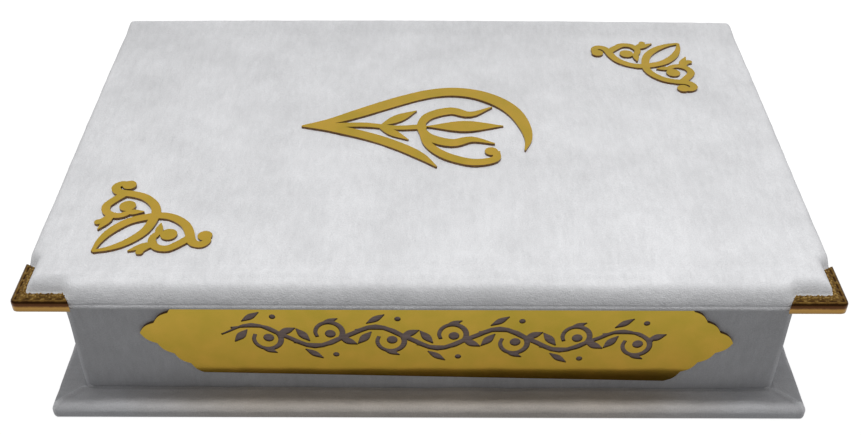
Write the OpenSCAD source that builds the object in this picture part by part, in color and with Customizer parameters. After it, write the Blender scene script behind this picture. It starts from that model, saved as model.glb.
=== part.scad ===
// A prayer book in its velvet-covered, book-form case.
// Origin: centre of the resting face. +X runs along the spine, +Y towards the
// hinge side and +Z up. All sizes are millimetres.

/* [Case] */
// Length of the lid along the spine, over the corner guards
case_l = 281.6; // [270:0.1:300]
// Depth of the case, from its opening side to its hinge
case_d = 187.4; // [180:0.1:200]
// Height of the underside of the lid above the resting face
lid_z = 53.8; // [52:0.1:60]
// How far the lid stands out past the side walls
side_overhang = 13; // [12:0.1:14]
// How far the lid and the base stand out past the front wall
front_overhang = 11.6; // [11:0.1:14]
// Thickness of the greyboard walls
board_t = 3; // [2:0.1:3.5]
// Thickness of the board in the spine
spine_board_t = 2.4; // [2:0.1:3]
// Thickness of the velvet with its backing
velvet_t = 0.8; // [0.5:0.1:1]
// Thickness of the satin lining
lining_t = 0.6; // [0.4:0.1:0.8]

/* [Base] */
// Height of the padded flange at its outer shoulder
flange_h = 6; // [5.6:0.1:7]
// How far the top of the flange falls towards the walls
flange_fall = 0.7; // [0:0.1:1]
// Radius of the flange's outer shoulder
shoulder_r = 2.2; // [1.2:0.1:2.6]
// How much narrower the base is than the lid, at each side
base_step = 2.8; // [1:0.1:3]

/* [Lid] */
// Height of the lid's stiff edge
lid_edge_h = 3.6; // [3.6:0.1:5]
// Height of the foam pad's crown above the stiff edge
pad_h = 5.3; // [4:0.1:8]
// Width over which the pad rounds down at its front and its sides
pad_round = 8; // [6:0.5:12]
// Width over which the pad rounds down at its hinge side
back_round = 2.5; // [2:0.5:8]
// Width of the velvet turned in under the lid
turn_in = 9; // [6:0.5:12]

/* [Corner guards] */
// Length of each leg of a corner guard
guard_leg = 20; // [16:0.5:24]
// Width of the strip that a guard folds over the lid
guard_strip = 5.8; // [4:0.1:6]
// Thickness of the stamped sheet
guard_t = 0.6; // [0.4:0.1:0.8]
// Radius of a guard's outer corner
guard_r = 2.4; // [1.5:0.1:3]

/* [Gold ornaments] */
// Thickness of the acrylic ornaments on the lid
ornament_t = 1; // [0.8:0.1:3]
// Thickness of the acrylic plate on the front
plate_t = 1.2; // [1:0.1:2.5]
// Length of the front plate from tip to tip
plate_l = 211.8; // [200:0.5:216]
// Height of the front plate
plate_h = 40.2; // [34:0.1:41]
// Height of the plate's lower edge above the resting face
plate_z = 11.3; // [9:0.1:12]
// Distance of the plate's middle from the middle of the case
plate_x = 2.9; // [-4:0.1:4]
// Angle by which the plate's right end is glued lower than its left
plate_tilt = 1.2; // [-2:0.1:2]
// Length of each pointed end of the plate
plate_point = 22; // [14:0.5:24]
// Scallops on each slanted edge of the plate
plate_scallops = 4; // [3:1:7]
// Depth of the vine engraved into the plate
engraving_t = 0.4; // [0.2:0.1:0.8]
// Half waves in the engraved vine
vine_waves = 7; // [5:2:9]
// Length of one half wave of the vine
vine_step = 22; // [18:0.5:22]

/* [Book] */
// Height of the book's boards, along the spine
book_l = 240; // [230:1:240]
// Width of the book, from its fore edge to its spine
book_d = 159; // [150:0.5:159]
// Thickness of the closed book
book_h = 40; // [34:0.5:40]
// Thickness of the book's cover boards
cover_t = 2.4; // [2:0.1:3]
// How far the cover boards stand out past the leaves
book_square = 3; // [2:0.5:5]
// Thickness of one opening section of leaves
section_t = 1.1; // [0.8:0.1:1.4]

/* [Hidden] */

$fn = 48;
gap = 0.3;                 // running gap between pieces that move apart
eps = 0.01;                // overlap that keeps a cut clean

// Case, seen from above
lid_x = case_l / 2 - guard_t - 0.2;          // velvet edge of the lid, each side
lid_front = -case_d / 2 + guard_t + 0.2;
hinge_r = 0.35;                              // the rolled velvet on the hinge line
hinge_y = case_d / 2 - hinge_r;
hinge_z = lid_z - gap / 2;
lid_back = hinge_y - 0.65;
base_x = case_l / 2 - base_step;
base_front = -case_d / 2;
wall_x = case_l / 2 - side_overhang;         // outer velvet face of the side walls
wall_front = -case_d / 2 + front_overhang;
spine_out = hinge_y - 0.25;                  // outer velvet face of the spine
spine_in = spine_out - velvet_t - spine_board_t;
tray_back = spine_in - board_t;              // inner face of the back wall's board

// Case, heights
board_z = velvet_t;
tray_z = board_z + board_t;
floor_t = 2;
floor_z = tray_z + floor_t + lining_t;       // what the book lies on
wall_top = lid_z - gap;
pad_z = lid_z + lid_edge_h;
crown_z = pad_z + pad_h;
lid_lining_t = 0.5;
lid_board_t = lid_edge_h - lid_lining_t - velvet_t;

// Book
book_z = floor_z + gap;
book_back = spine_in - board_t - lining_t - 2.1;
book_front = book_back - book_d;
joint_y = book_back - cover_t + 0.1;         // hinge line of the front cover
joint_z = book_z + book_h - cover_t / 2;
joint_r = 0.5;
groove = 1.6;                                // the cover board stops this far from its hinge line
spine_t = 1.6;
mull_t = 0.3;
endpaper_t = 0.25;
leaf_x = book_l / 2 - book_square;
leaf_front = book_front + book_square;
block_back = book_back - spine_t - mull_t;
front_cover_z = book_z + book_h - cover_t;
section_step = section_t + gap;
section_z = front_cover_z - endpaper_t - 3 * section_step;
block_z = book_z + cover_t + endpaper_t;
fold_y = joint_y - 2.4;                      // line that the leaf sections fold on
gutter = 6.5;                                // width of the thin fold beside that line
gutter_t = 0.4;

velvet_c = [0.86, 0.86, 0.88];
board_c = [0.62, 0.58, 0.52];
gold_c = [0.78, 0.60, 0.20];
bronze_c = [0.55, 0.40, 0.18];
satin_c = [0.90, 0.87, 0.80];
paper_c = [0.93, 0.90, 0.80];
cover_c = [0.88, 0.87, 0.86];

// A box from one corner to the other
module slab(x0, x1, y0, y1, z0, z1) {
    translate([x0, y0, z0]) cube([x1 - x0, y1 - y0, z1 - z0]);
}

// Sweeps a (y, z) outline along X, and an (x, z) outline along Y
module along_x(length) { rotate([90, 0, 90]) linear_extrude(height = length, center = true) children(); }
module along_y(length) { rotate([90, 0, 0]) linear_extrude(height = length, center = true) children(); }

// A (distance from the edge, height) outline mirrored to the far edge, from low to high
function both_sides(edge, rim) = concat(
    [for (p = rim) [-edge + p[0], p[1]]],
    [for (i = [len(rim) - 1 : -1 : 0]) [edge - rim[i][0], rim[i][1]]]);

// --- Base -----------------------------------------------------------------

// Rim of the padded flange, from its foot over the shoulder to the walls
function flange_rim(inset) = let (r = shoulder_r - inset) concat(
    [[inset, inset]],
    [for (a = [0 : 15 : 90]) [shoulder_r - r * cos(a), flange_h - shoulder_r + r * sin(a)]],
    [[side_overhang - base_step, flange_h - flange_fall - inset]]);

// The base slab, rounded along its front and its sides
module base_shape(inset, back) {
    rim = flange_rim(inset);
    front = [for (p = rim) [base_front + p[0], p[1]]];
    intersection() {
        along_x(case_l) polygon(concat(front, [[back, rim[len(rim) - 1][1]], [back, inset]]));
        along_y(case_d * 2) polygon(both_sides(base_x, rim));
    }
}

module tray_outline() {
    slab(-wall_x, wall_x, wall_front, case_d, tray_z, lid_z);
}

module base_velvet() {
    color(velvet_c) difference() {
        base_shape(0, spine_out);
        base_shape(velvet_t, spine_in);
        tray_outline();
        slab(-case_l, case_l, spine_in - eps, case_d, velvet_t, lid_z);
    }
}

module base_board() {
    color(board_c)
        slab(-base_x + velvet_t, base_x - velvet_t, base_front + velvet_t, spine_in, board_z, tray_z);
}

// Seen from above, the part of the flange that belongs to one side
module flange_side(outline) {
    color(satin_c) difference() {
        intersection() {
            base_shape(velvet_t, spine_in);
            translate([0, 0, tray_z]) linear_extrude(height = flange_h) polygon(outline);
        }
        tray_outline();
    }
}

module flange_pad_front() {
    flange_side([
        [-base_x, base_front], [base_x, base_front],
        [wall_x, wall_front], [-wall_x, wall_front]]);
}

module flange_pad_side(s) {
    outline = [
        [s * base_x, base_front], [s * base_x, spine_in],
        [s * wall_x, spine_in], [s * wall_x, wall_front]];
    flange_side(outline);
}

module flange_pad_left() { flange_pad_side(-1); }
module flange_pad_right() { flange_pad_side(1); }

// --- Tray -----------------------------------------------------------------

board_top = wall_top - lining_t;             // wall boards stop under the lining's turned edge
board_x = wall_x - velvet_t;
board_front = wall_front + velvet_t;

module tray_floor() {
    color(board_c) slab(
        -board_x + board_t, board_x - board_t, board_front + board_t, tray_back, tray_z, tray_z + floor_t);
}

module front_wall() {
    color(board_c) slab(-board_x, board_x, board_front, board_front + board_t, tray_z, board_top);
}

module side_wall(s) {
    color(board_c) translate([s * (board_x - board_t / 2), 0, 0])
        slab(-board_t / 2, board_t / 2, board_front + board_t, spine_in, tray_z, board_top);
}

module left_wall() { side_wall(-1); }
module right_wall() { side_wall(1); }

module back_wall() {
    color(board_c)
        slab(-board_x + board_t, board_x - board_t, tray_back, spine_in, tray_z, board_top);
}

module spine_board() {
    color(board_c) slab(
        -base_x + velvet_t, base_x - velvet_t, spine_in, spine_in + spine_board_t, velvet_t, board_top);
}

// One strip of velvet round the front and the sides of the tray
module wall_velvet() {
    corner_r = 1.5;
    color(velvet_c) difference() {
        union() {
            slab(-wall_x + corner_r, wall_x - corner_r, wall_front, 0, tray_z, wall_top);
            slab(-wall_x, wall_x, wall_front + corner_r, spine_in, tray_z, wall_top);
            for (s = [-1, 1]) translate([s * (wall_x - corner_r), wall_front + corner_r, tray_z])
                cylinder(r = corner_r, h = wall_top - tray_z);
        }
        slab(-board_x, board_x, board_front, case_d, 0, lid_z + 1);
    }
}

// Velvet over the spine, up to the roll that the lid hinges on
module spine_velvet() {
    inner = base_x - velvet_t;
    velvet_in = spine_out - velvet_t;
    color(velvet_c) {
        difference() {
            slab(-base_x, base_x, spine_in, spine_out, velvet_t, board_top);
            slab(-inner, inner, spine_in - 1, velvet_in, 0, lid_z);
        }
        along_x(2 * base_x) polygon([
            [velvet_in, board_top - 0.5], [spine_out, board_top - 0.5],
            [hinge_y + 0.25, hinge_z - 0.1], [spine_out, hinge_z + 0.1]]);
        translate([0, hinge_y, hinge_z]) rotate([0, 90, 0])
            cylinder(r = hinge_r, h = 2 * base_x, center = true);
    }
}

module floor_lining() {
    color(satin_c) slab(
        -board_x + board_t, board_x - board_t, board_front + board_t, tray_back,
        tray_z + floor_t, floor_z);
}

// Satin inside the walls, turned over their top edges
module wall_lining() {
    inner_x = board_x - board_t;
    inner_front = board_front + board_t;
    color(satin_c) difference() {
        slab(-board_x, board_x, board_front, spine_in, floor_z, wall_top);
        difference() {
            slab(-board_x - 1, board_x + 1, board_front - 1, spine_in + 1, 0, board_top);
            slab(-inner_x, inner_x, inner_front, tray_back, 0, lid_z);
        }
        slab(
            -inner_x + lining_t, inner_x - lining_t, inner_front + lining_t, tray_back - lining_t,
            0, lid_z);
    }
}

// --- Front plate ----------------------------------------------------------

// One slanted edge as a row of arcs, from corner a to tip b
function scalloped(a, b, n) = [
    for (i = [0 : n - 1], k = [0 : 5])
        let (
            along = (b - a) / n,
            out = [along[1], -along[0]],
            bulge = 0.13 * sin(180 * k / 6))
        a + along * (i + k / 6) + out * bulge];

module plate_outline() {
    flat = plate_l / 2 - plate_point;
    half = plate_h / 2;
    right = [plate_l / 2, 0];
    left = [-plate_l / 2, 0];
    polygon(concat(
        scalloped([flat, -half], right, plate_scallops),
        scalloped(right, [flat, half], plate_scallops),
        scalloped([-flat, half], left, plate_scallops),
        scalloped(left, [-flat, -half], plate_scallops)));
}

// One half wave's tendril, leaves and bud, growing from the crest at the origin
// towards +X and curling back below the stem
module tendril() {
    eye = [4.6, -6.2];
    band(concat([[-6.5, -1.6], [-1, -0.9], [4, -1]], arc(eye, 4.2, 60, -210, 9)), [0.8, 1.6, 1.8, 1.5, 1.2]);
    dot(eye + [0.4, 0.6], 1.7);
    leaf([7.6, -4], [13.4, -1.2], 2.8);
    leaf([-1.4, -2.2], [-5.6, -7.6], 2.8);
    leaf([2, -9.6], [7.4, -12.2], 2.2);
    leaf([-3, 1.2], [2.6, 5.2], 2.4);
    dot([6.6, 3.4], 1);
}

// A wavy stem with a curl in every half wave, in place of any lettering
module vine() {
    rise = 5.2;
    span = vine_waves * vine_step;
    stem = [for (i = [0 : 2 * vine_waves]) [
        i * vine_step / 2 - span / 2, i % 2 == 0 ? 0 : (i % 4 == 1 ? rise : -rise)]];
    band(stem, [0.8, 2, 2.2, 2.2, 2.2, 2.2, 2, 0.8], 4);
    for (i = [0 : vine_waves - 1]) {
        up = i % 2 == 0 ? 1 : -1;
        translate([(i + 0.5) * vine_step - span / 2, up * rise])
            scale(1.15) mirror([0, up < 0 ? 1 : 0]) tendril();
    }
}

module front_plate() {
    color(gold_c) translate([plate_x, wall_front, plate_z + plate_h / 2])
        rotate([90, 0, 0]) rotate(-plate_tilt) difference() {
            linear_extrude(height = plate_t) plate_outline();
            translate([0, 0, plate_t - engraving_t]) linear_extrude(height = plate_t) vine();
        }
}

// --- Lid ------------------------------------------------------------------

// Rim of the lid, from its underside up the stiff edge and over the pad
function lid_rim(inset, width) = concat(
    [[inset, lid_z + inset]],
    [for (a = [0 : 10 : 90]) [
        width - (width - inset) * cos(a),
        pad_z + (pad_h - inset) * sin(a)]]);

module lid_shape(inset) {
    rim = lid_rim(inset, pad_round);
    back_rim = lid_rim(inset, back_round);
    intersection() {
        along_x(case_l) polygon(concat(
            [for (p = rim) [lid_front + p[0], p[1]]],
            [for (i = [len(back_rim) - 1 : -1 : 0]) [lid_back - back_rim[i][0], back_rim[i][1]]]));
        along_y(case_d * 2) polygon(both_sides(lid_x, rim));
    }
}

// Where the guards press the pad flat
module pressed_corners() {
    for (s = [-1, 1]) scale([s, 1, 1])
        translate([0, 0, pad_z]) linear_extrude(height = pad_h * 2) guard_outline();
}

module lid_velvet() {
    color(velvet_c) difference() {
        lid_shape(0);
        difference() {
            lid_shape(velvet_t);
            for (s = [-1, 1]) scale([s, 1, 1])
                translate([0, 0, pad_z - velvet_t]) linear_extrude(height = pad_h * 2)
                    guard_outline(velvet_t);
        }
        slab(
            -lid_x + velvet_t, lid_x - velvet_t, lid_front + velvet_t, lid_back - velvet_t,
            lid_z + lid_lining_t, lid_z + velvet_t + eps);
        slab(
            -lid_x + turn_in, lid_x - turn_in, lid_front + turn_in, lid_back - turn_in,
            lid_z - 1, lid_z + lid_lining_t + eps);
        pressed_corners();
        corner_guard_left();
        corner_guard_right();
    }
}

module lid_board() {
    color(board_c) slab(
        -lid_x + velvet_t, lid_x - velvet_t, lid_front + velvet_t, lid_back - velvet_t,
        lid_z + lid_lining_t, lid_z + lid_lining_t + lid_board_t);
}

module lid_foam() {
    color(satin_c) difference() {
        lid_shape(velvet_t);
        slab(-case_l, case_l, -case_d, case_d, 0, pad_z - velvet_t);
        for (s = [-1, 1]) scale([s, 1, 1])
            translate([0, 0, pad_z - velvet_t - 1]) linear_extrude(height = pad_h * 2)
                guard_outline(velvet_t);
    }
}

module lid_lining() {
    color(satin_c) slab(
        -lid_x + turn_in, lid_x - turn_in, lid_front + turn_in, lid_back - turn_in,
        lid_z, lid_z + lid_lining_t);
}

// --- Corner guards --------------------------------------------------------

// One guard's L from above, at the front right corner; grow widens it inwards
module guard_outline(grow = 0) {
    edge_x = case_l / 2;
    edge_y = -case_d / 2;
    slant = 3;
    in = guard_strip + grow;
    leg = guard_leg + grow;
    polygon([
        [edge_x - guard_r, edge_y + guard_r], [edge_x, edge_y + guard_r],
        [edge_x, edge_y + leg], [edge_x - in, edge_y + leg - slant],
        [edge_x - in, edge_y + in], [edge_x - leg + slant, edge_y + in],
        [edge_x - leg, edge_y], [edge_x - guard_r, edge_y]]);
    translate([edge_x - guard_r, edge_y + guard_r]) circle(r = guard_r);
}

// Part of the room that a guard leaves for the lid's edge, these far from its side and its front
module guard_pocket(side, front) {
    slab(
        case_l / 2 - 2 * guard_leg, case_l / 2 - side, front - case_d / 2, 0,
        lid_z, pad_z);
}

// A folded sheet that clasps the lid's edge: top strip, outer wall and bottom strip
module corner_guard(s) {
    wall = guard_t + 0.2;
    color(bronze_c) scale([s, 1, 1]) difference() {
        translate([0, 0, lid_z - guard_t]) linear_extrude(height = lid_edge_h + 2 * guard_t)
            guard_outline();
        guard_pocket(guard_r, wall);
        guard_pocket(wall, guard_r);
        translate([case_l / 2 - guard_r, guard_r - case_d / 2, lid_z])
            cylinder(r = guard_r - wall, h = lid_edge_h);
    }
}

module corner_guard_left() { corner_guard(-1); }
module corner_guard_right() { corner_guard(1); }

// --- Cut acrylic ornaments ------------------------------------------------

// Value at t on a smooth curve through the entries of p, which are points or widths
function smooth(p, t) = let (
    last = len(p) - 1,
    s = min(floor(t), last - 1),
    u = t - s,
    b = p[s],
    c = p[s + 1],
    a = s == 0 ? 2 * b - c : p[s - 1],
    d = s + 1 == last ? 2 * c - b : p[s + 2])
    0.5 * (2 * b + (c - a) * u + (2 * a - 5 * b + 4 * c - d) * u * u
        + (3 * b - a - 3 * c + d) * u * u * u);

// Unit vector across the curve c at its point i
function across(c, i) = let (
    d = c[min(i + 1, len(c) - 1)] - c[max(i - 1, 0)])
    [-d[1], d[0]] / norm(d);

// A band along a smooth curve through points, with widths spread evenly along it
module band(points, widths, steps = 5) {
    n = steps * (len(points) - 1);
    line = [for (i = [0 : n]) smooth(points, i / steps)];
    half = [for (i = [0 : n]) 0.5 * smooth(widths, i / n * (len(widths) - 1))];
    polygon(concat(
        [for (i = [0 : n]) line[i] - across(line, i) * half[i]],
        [for (i = [n : -1 : 0]) line[i] + across(line, i) * half[i]]));
}

module dot(at, r) { translate(at) circle(r = r, $fn = 24); }

// A pointed leaf from its stalk to its tip
module leaf(from, to, width) {
    mid = (from + to) / 2;
    band([from, mid, to], [0.4, width, 0.4], 6);
}

// An arc of the given radius about a middle point, as points for a band
function arc(middle, r, from, to, n = 6) = [
    for (i = [0 : n]) let (a = from + (to - from) * i / n) middle + r * [cos(a), sin(a)]];

// Half of a corner ornament, with its leaf's tip at the origin and its mirror
// line along +X; the other half is its mirror image, opened a little
module ornament_half() {
    ring = [20.7, 14.2];
    band([[0, 0], [5, -2.8], [10.5, -4.3], [16.3, -4.3], [20.8, -3], [25.6, 0], [28.5, 2.8], [30.3, 7],
        [30.4, 12.5], [28.6, 17.1], [26.3, 20.6], [25.6, 23.2], [26.8, 25.6], [29.4, 25.6], [31, 23.4]],
        [1.2, 3.2, 3.5, 3.4, 3.4, 3.4, 3.2, 2.6]);
    dot([30.8, 22.9], 2.6);
    band(concat([[26.1, 19.6], [22.8, 19.4]], arc(ring, 5, 115, 275)), [3.2, 3.2, 3, 2.8, 2.4]);
    dot([23, 12.7], 3);
    leaf([19.4, 10.8], [25.3, 5.6], 2.8);
    leaf([17.8, 12.6], [7.9, 9], 3);
    band([[17.4, 13], [13, 12.4], [10.4, 12.5]], [2.2, 2, 2]);
    dot([10.4, 12.5], 1.4);
}

// Placed by its leaf's tip, and turned so that its mirror line points into the lid
module corner_ornament(tip, turn) {
    color(gold_c) translate([tip[0], tip[1], crown_z]) rotate([0, 0, turn])
        linear_extrude(height = ornament_t) union() {
            ornament_half();
            rotate([0, 0, 3]) mirror([0, 1]) ornament_half();
        }
}

module corner_ornament_front() {
    corner_ornament([-case_l / 2 + 24.4, -case_d / 2 + 19.8], 46.6);
}

module corner_ornament_back() {
    corner_ornament([case_l / 2 - 29, case_d / 2 - 22], 226.6);
}

// An open almond frame round a tulip on its stem, drawn from the frame's tip
module emblem_outline() {
    band([[0, 0], [11.5, 3.6], [21.5, 9], [31.5, 14.8], [41.5, 20.3], [51.5, 24.6], [61.5, 26.2], [71.5, 24],
        [80.2, 18.2], [86.2, 10.2], [89.6, 0], [90.4, -9], [88.6, -16.5]],
        [0.8, 5, 6.2, 6.2, 6.2, 6.6, 6.2, 4, 0.6]);
    band([[0, 0], [11.5, -1.4], [21.5, -4.7], [31.5, -9.3], [41.5, -15.4], [48.5, -21.2], [54, -27.5]],
        [0.8, 4.6, 5, 5, 4.2, 0.6]);
    band([[5, 0.6], [15, 0.8], [26, 1], [38, -1], [50, 0]], [2, 3, 2.8, 3.4]);
    band([[47, -0.5], [51, 7.5], [60, 11.5], [68, 9], [77, 14.5]], [2.6, 4.6, 5, 3.6, 0.6]);
    band([[47, 0.5], [51, -7.5], [60, -11.5], [68, -9], [77, -12]], [2.6, 4.6, 5, 3.6, 0.6]);
    leaf([50, 0], [81, 0.5], 7.5);
    leaf([31, 0], [46, 11.5], 5);
    leaf([30, 0.5], [43, -9.5], 4);
    band([[48, -3], [51, -13], [58, -20.5], [68, -24.5], [76.5, -22.5], [77.5, -17]], [2.4, 3.8, 4.4, 3.8, 2.6]);
    dot([75.4, -17.2], 2.6);
}

module lid_emblem() {
    color(gold_c) translate([-51.5, 4, crown_z])
        linear_extrude(height = ornament_t) emblem_outline();
}

// --- Book -----------------------------------------------------------------

module cover_slab(z) {
    slab(-book_l / 2, book_l / 2, book_front, joint_y - groove, z, z + cover_t);
}

module book_back_cover() { color(cover_c) cover_slab(book_z); }
module book_front_cover() { color(cover_c) cover_slab(front_cover_z); }

module spine_mull() {
    color(satin_c) slab(
        -leaf_x + 12, leaf_x - 12, block_back, block_back + mull_t, book_z + cover_t, section_z - gap);
}

// The book's spine, with the cloth roll that the front cover turns on
module book_spine() {
    spine_top = joint_z - 2;
    color(cover_c) {
        slab(-book_l / 2, book_l / 2, book_back - spine_t, book_back, book_z, spine_top);
        along_x(book_l) polygon([
            [book_back - spine_t, spine_top - 0.5], [book_back, spine_top - 0.5],
            [joint_y + 0.4, joint_z], [joint_y - 0.2, joint_z - 0.4]]);
        translate([0, joint_y, joint_z]) rotate([0, 90, 0])
            cylinder(r = joint_r, h = book_l, center = true);
    }
}

module text_block() {
    color(paper_c) slab(-leaf_x, leaf_x, leaf_front, block_back, block_z, section_z - gap);
}

module endpaper(z) {
    color(satin_c) slab(
        -leaf_x, leaf_x, leaf_front, joint_y - groove - 2, z, z + endpaper_t);
}

module back_endpaper() { endpaper(book_z + cover_t); }
module front_endpaper() { endpaper(front_cover_z - endpaper_t); }

// A worked band at one end of the leaves' back
module headband(s) {
    band_r = 0.8;
    color(gold_c) translate([s * (leaf_x + band_r), block_back - band_r, block_z])
        cylinder(r = band_r, h = section_z - gap - block_z);
}

module headband_left() { headband(-1); }
module headband_right() { headband(1); }

// A section of leaves that opens as one, thin where it folds beside the spine
module leaf_section(level) {
    low = section_z + level * section_step;
    mid = low + section_t / 2;
    color(paper_c) {
        slab(-leaf_x, leaf_x, leaf_front, fold_y - gutter, low, low + section_t);
        slab(-leaf_x, leaf_x, fold_y - gutter - eps, fold_y - 1, mid - gutter_t / 2, mid + gutter_t / 2);
    }
}

module leaf_section_lower() { leaf_section(0); }
module leaf_section_middle() { leaf_section(1); }
module leaf_section_upper() { leaf_section(2); }

base_velvet();
base_board();
flange_pad_front();
flange_pad_left();
flange_pad_right();
tray_floor();
front_wall();
left_wall();
right_wall();
back_wall();
spine_board();
wall_velvet();
spine_velvet();
floor_lining();
wall_lining();
front_plate();
lid_board();
lid_foam();
lid_velvet();
lid_lining();
lid_emblem();
corner_ornament_front();
corner_ornament_back();
corner_guard_left();
corner_guard_right();
book_back_cover();
book_spine();
spine_mull();
text_block();
back_endpaper();
headband_left();
headband_right();
book_front_cover();
front_endpaper();
leaf_section_lower();
leaf_section_middle();
leaf_section_upper();
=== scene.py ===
"""Looks of the velvet-cased prayer book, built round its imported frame.

Lengths in this script are millimetres until a mesh is made, and then metres.
"""

import math

import bmesh
import bpy
import numpy as np
from mathutils import Matrix, Vector, noise


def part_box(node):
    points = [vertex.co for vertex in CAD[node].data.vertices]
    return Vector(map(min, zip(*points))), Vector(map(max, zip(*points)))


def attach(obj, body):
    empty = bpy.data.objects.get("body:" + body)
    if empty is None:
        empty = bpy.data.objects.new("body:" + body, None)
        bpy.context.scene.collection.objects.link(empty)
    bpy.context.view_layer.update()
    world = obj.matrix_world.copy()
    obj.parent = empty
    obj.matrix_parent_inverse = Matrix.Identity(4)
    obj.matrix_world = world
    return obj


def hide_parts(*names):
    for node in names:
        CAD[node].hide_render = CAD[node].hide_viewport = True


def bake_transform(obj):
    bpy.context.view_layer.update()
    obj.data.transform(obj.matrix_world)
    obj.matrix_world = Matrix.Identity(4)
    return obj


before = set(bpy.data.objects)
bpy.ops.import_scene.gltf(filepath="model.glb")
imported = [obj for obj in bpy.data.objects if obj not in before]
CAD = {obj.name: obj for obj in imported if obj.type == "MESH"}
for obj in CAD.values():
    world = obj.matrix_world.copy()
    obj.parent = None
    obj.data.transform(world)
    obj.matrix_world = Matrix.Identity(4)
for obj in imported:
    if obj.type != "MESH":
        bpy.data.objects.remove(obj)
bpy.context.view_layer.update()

MM = 0.001


def box_mm(node):
    """Lowest and highest corner of a CAD node, in millimetres."""
    low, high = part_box(node)
    return np.array(low) / MM, np.array(high) / MM


# --- Materials ---------------------------------------------------------------


class Surface:
    """A procedural material under construction, with short ways to add nodes."""

    def __init__(self, name, **settings):
        self.material = bpy.data.materials.new(name)
        self.material.use_nodes = True
        self.tree = self.material.node_tree
        self.shader = self.tree.nodes["Principled BSDF"]
        self.shader.inputs["Specular IOR Level"].default_value = 0.5
        for key, value in settings.items():
            self.shader.inputs[key.replace("_", " ")].default_value = value
        self.place = self.add("TexCoord").outputs["Object"]

    def add(self, kind, inputs=None, **settings):
        """A node; its inputs are numbers, colours or other nodes' outputs."""
        node = self.tree.nodes.new("ShaderNode" + kind)
        for key, value in settings.items():
            setattr(node, key, value)
        for key, value in (inputs or {}).items():
            if isinstance(value, bpy.types.NodeSocket):
                self.tree.links.new(value, node.inputs[key])
            else:
                node.inputs[key].default_value = value
        return node

    def noise(self, scale, detail=3.0, stretch=(1, 1, 1), rough=0.5):
        """Noise from 0 to 1, with this many cells in a metre."""
        place = self.add("Mapping", {"Vector": self.place, "Scale": stretch}).outputs[0]
        return self.add("TexNoise", {
            "Vector": place, "Scale": scale, "Detail": detail, "Roughness": rough}).outputs[0]

    def ramp(self, value, *stops):
        """Colours or greys along a value, from (position, colour) stops."""
        node = self.add("ValToRGB", {"Fac": value})
        elements = node.color_ramp.elements
        while len(elements) < len(stops):
            elements.new(0.5)
        for element, (position, colour) in zip(elements, stops):
            element.position = position
            element.color = (*colour, 1) if isinstance(colour, tuple) else (colour,) * 3 + (1,)
        return node.outputs[0]

    def mix(self, share, a, b, how="MIX"):
        """Colour a with colour b over it by a share."""
        return self.add("MixRGB", {"Fac": share, "Color1": a, "Color2": b}, blend_type=how).outputs[0]

    def maths(self, operation, a, b=0.0):
        """The result of a sum on numbers or other nodes' outputs."""
        node = self.add("Math", operation=operation)
        for socket, value in zip(node.inputs, (a, b)):
            if isinstance(value, bpy.types.NodeSocket):
                self.tree.links.new(value, socket)
            else:
                socket.default_value = value
        return node.outputs[0]

    def part(self, axis):
        """The X, Y or Z of the place on the object, in metres."""
        return self.add("SeparateXYZ", {"Vector": self.place}).outputs[axis]

    def colour(self, socket):
        """Takes the surface's colour from a node."""
        self.tree.links.new(socket, self.shader.inputs["Base Color"])

    def roughness(self, value, low, high):
        """Roughness from low to high as a value goes from 0 to 1."""
        node = self.add("MapRange", {"Value": value, "To Min": low, "To Max": high})
        self.tree.links.new(node.outputs[0], self.shader.inputs["Roughness"])

    def bump(self, height, distance, strength=1.0, below=None):
        """Relief of this depth in metres, on top of any relief below it."""
        node = self.add("Bump", {"Height": height, "Distance": distance, "Strength": strength})
        if below is not None:
            self.tree.links.new(below, node.inputs["Normal"])
        self.tree.links.new(node.outputs[0], self.shader.inputs["Normal"])
        return node.outputs[0]


WHITE = (1.0, 1.0, 1.0)


def shaded(tone, share):
    """A colour at a share of its brightness, no brighter than white."""
    return tuple(min(1.0, c * share) for c in tone)


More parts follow.
